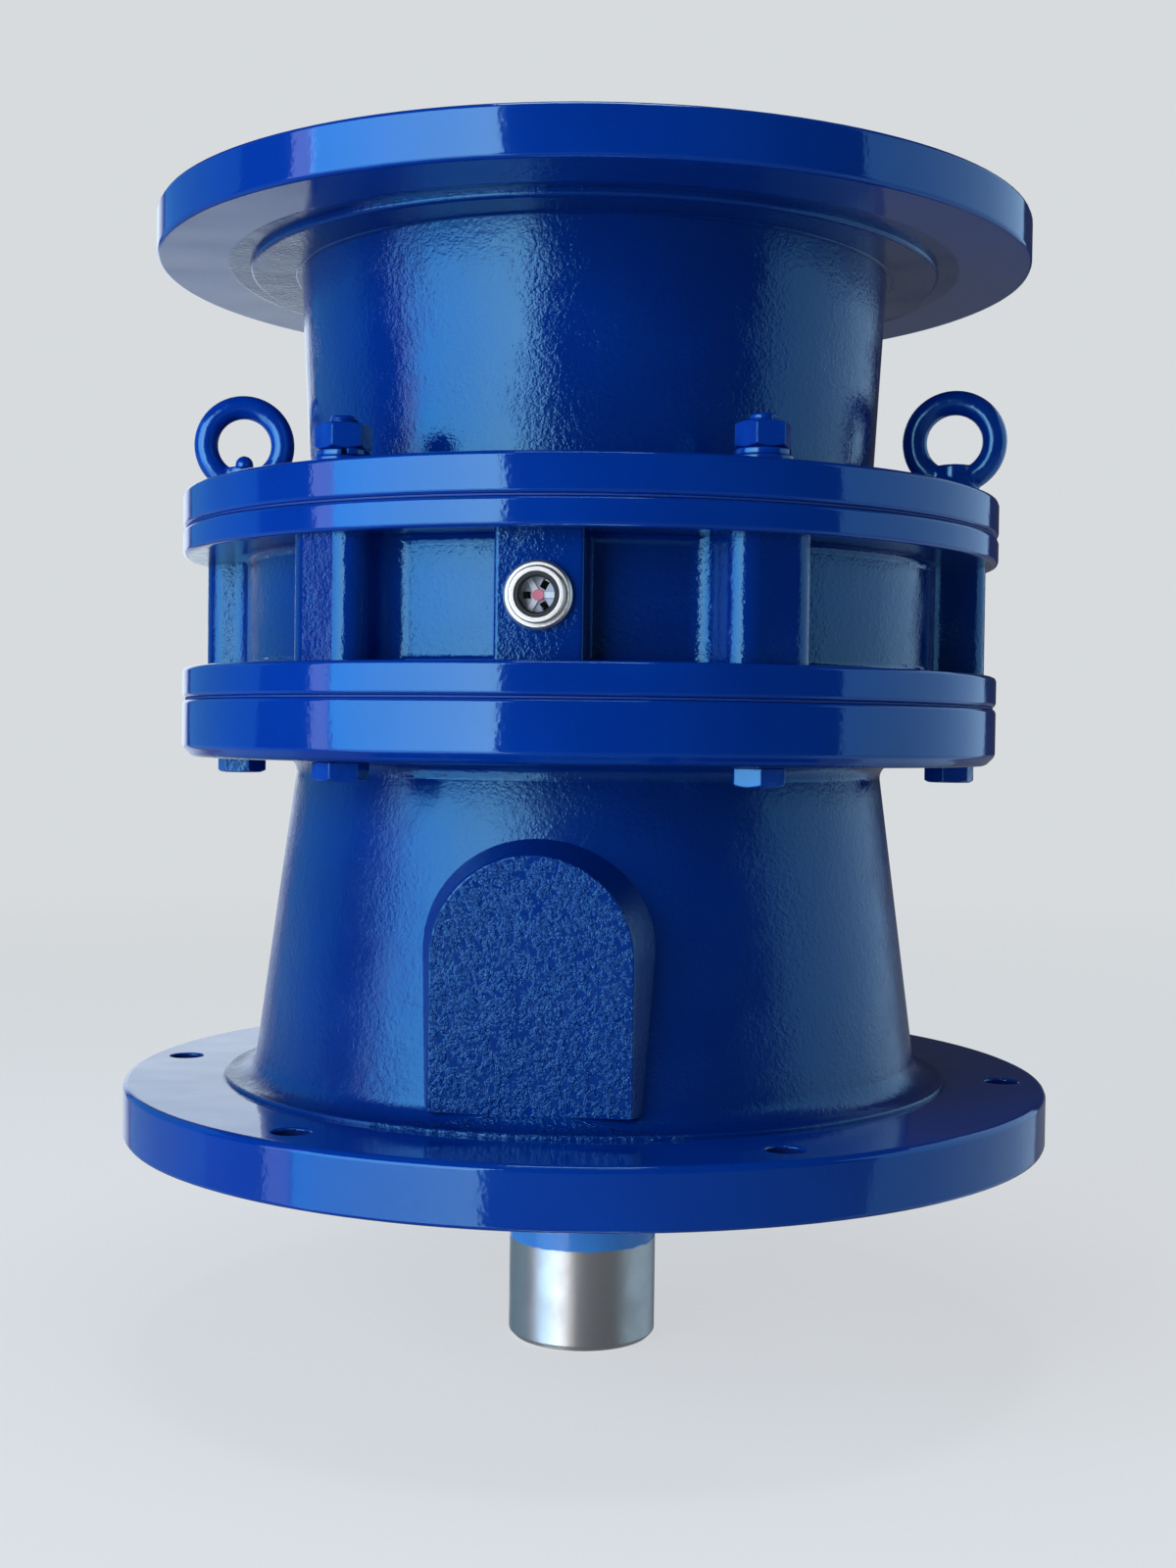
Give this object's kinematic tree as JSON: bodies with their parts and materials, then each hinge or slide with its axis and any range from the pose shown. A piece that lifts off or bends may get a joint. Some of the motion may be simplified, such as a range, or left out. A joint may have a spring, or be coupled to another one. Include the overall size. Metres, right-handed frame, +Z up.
{
  "type": "cycloidal speed reducer",
  "caption": "Vertical flange-mounted cycloidal speed reducer with a motor adapter, lifting eye nuts, an oil sight glass and a keyed output shaft.",
  "frame": {"origin": "centre of the mounting flange's lower face", "axes": "+Z up along the shafts towards the motor flange, -Y towards the oil sight glass, +X through the right lifting eye"},
  "size_m": [0.3399, 0.34, 0.412],
  "materials": {
    "blue_enamel": "gloss enamel on grey iron and on its fasteners",
    "gasket_paper": "oil-tight gasket paper",
    "nickel_plate": "nickel-plated, turned",
    "black_rubber": "moulded nitrile rubber",
    "sight_glass": "clear",
    "white_plastic": "moulded",
    "red_plastic": "moulded",
    "black_oxide": "black oxide",
    "turned_steel": "turned",
    "ground_steel": "hardened and ground",
    "bronze_cage": "machined"
  },
  "bodies": {
    "housing": {"output_housing": "blue_enamel", "ring_gear_housing": "blue_enamel", "motor_adapter": "blue_enamel", "lower_gasket": "gasket_paper", "upper_gasket": "gasket_paper", "housing_bolts": "blue_enamel", "flat_washers": "blue_enamel", "spring_washers": "blue_enamel", "housing_nuts": "blue_enamel", "eye_nut_left": "blue_enamel", "eye_nut_right": "blue_enamel", "sight_glass_body": "nickel_plate", "sight_glass_seal": "black_rubber", "sight_glass_window": "sight_glass", "sight_glass_reflector": "white_plastic", "sight_glass_dot": "red_plastic", "filler_plug": "black_oxide", "drain_plug": "black_oxide", "ring_pins": "ground_steel", "ring_sleeves": "ground_steel", "lower_bearing_outer": "ground_steel", "lower_bearing_balls": "ground_steel", "upper_bearing_outer": "ground_steel", "upper_bearing_balls": "ground_steel", "output_cover": "blue_enamel", "output_cover_screws": "black_oxide", "output_seal": "black_rubber", "input_bearing_outer": "ground_steel", "input_bearing_balls": "ground_steel", "input_cover": "blue_enamel", "input_cover_screws": "black_oxide", "input_seal": "black_rubber"},
    "output_shaft": {"output_shaft": "turned_steel", "output_pins": "ground_steel", "output_pin_rollers": "ground_steel", "disc_spacer": "turned_steel", "lower_bearing_inner": "ground_steel", "upper_bearing_inner": "ground_steel", "output_circlip": "black_oxide", "pilot_bearing_outer": "ground_steel", "pilot_bearing_balls": "ground_steel"},
    "input_shaft": {"input_shaft": "turned_steel", "eccentric_sleeve": "ground_steel", "eccentric_key": "turned_steel", "eccentric_circlip": "black_oxide", "input_bearing_inner": "ground_steel", "input_circlip": "black_oxide", "pilot_bearing_inner": "ground_steel"},
    "lower_disc": {"cycloid_disc_lower": "ground_steel"},
    "upper_disc": {"cycloid_disc_upper": "ground_steel"},
    "lower_cage": {"lower_eccentric_cage": "bronze_cage", "lower_eccentric_rollers": "ground_steel"},
    "upper_cage": {"upper_eccentric_cage": "bronze_cage", "upper_eccentric_rollers": "ground_steel"}
  },
  "joints": [
    {"name": "input_spin", "type": "hinge", "parent": "housing", "child": "input_shaft", "pos_m": [0, 0, 0.2315], "axis": [0, 0, 1], "continuous": true},
    {"name": "output_spin", "type": "hinge", "parent": "housing", "child": "output_shaft", "pos_m": [0, 0, 0.118], "axis": [0, 0, 1], "continuous": true},
    {"name": "lower_disc_spin", "type": "hinge", "parent": "input_shaft", "child": "lower_disc", "pos_m": [0.004, 0, 0.17525], "axis": [0, 0, 1], "continuous": true},
    {"name": "upper_disc_spin", "type": "hinge", "parent": "input_shaft", "child": "upper_disc", "pos_m": [-0.004, 0, 0.20025], "axis": [0, 0, 1], "continuous": true},
    {"name": "lower_cage_spin", "type": "hinge", "parent": "input_shaft", "child": "lower_cage", "pos_m": [0.004, 0, 0.17525], "axis": [0, 0, 1], "continuous": true},
    {"name": "upper_cage_spin", "type": "hinge", "parent": "input_shaft", "child": "upper_cage", "pos_m": [-0.004, 0, 0.20025], "axis": [0, 0, 1], "continuous": true}
  ],
  "couplings": [
    {"joint": "output_spin", "follows": "input_spin", "ratio": -0.058824},
    {"joint": "lower_disc_spin", "follows": "input_spin", "ratio": -1.0588},
    {"joint": "upper_disc_spin", "follows": "input_spin", "ratio": -1.0588},
    {"joint": "lower_cage_spin", "follows": "input_spin", "ratio": -0.63903},
    {"joint": "upper_cage_spin", "follows": "input_spin", "ratio": -0.63903}
  ]
}
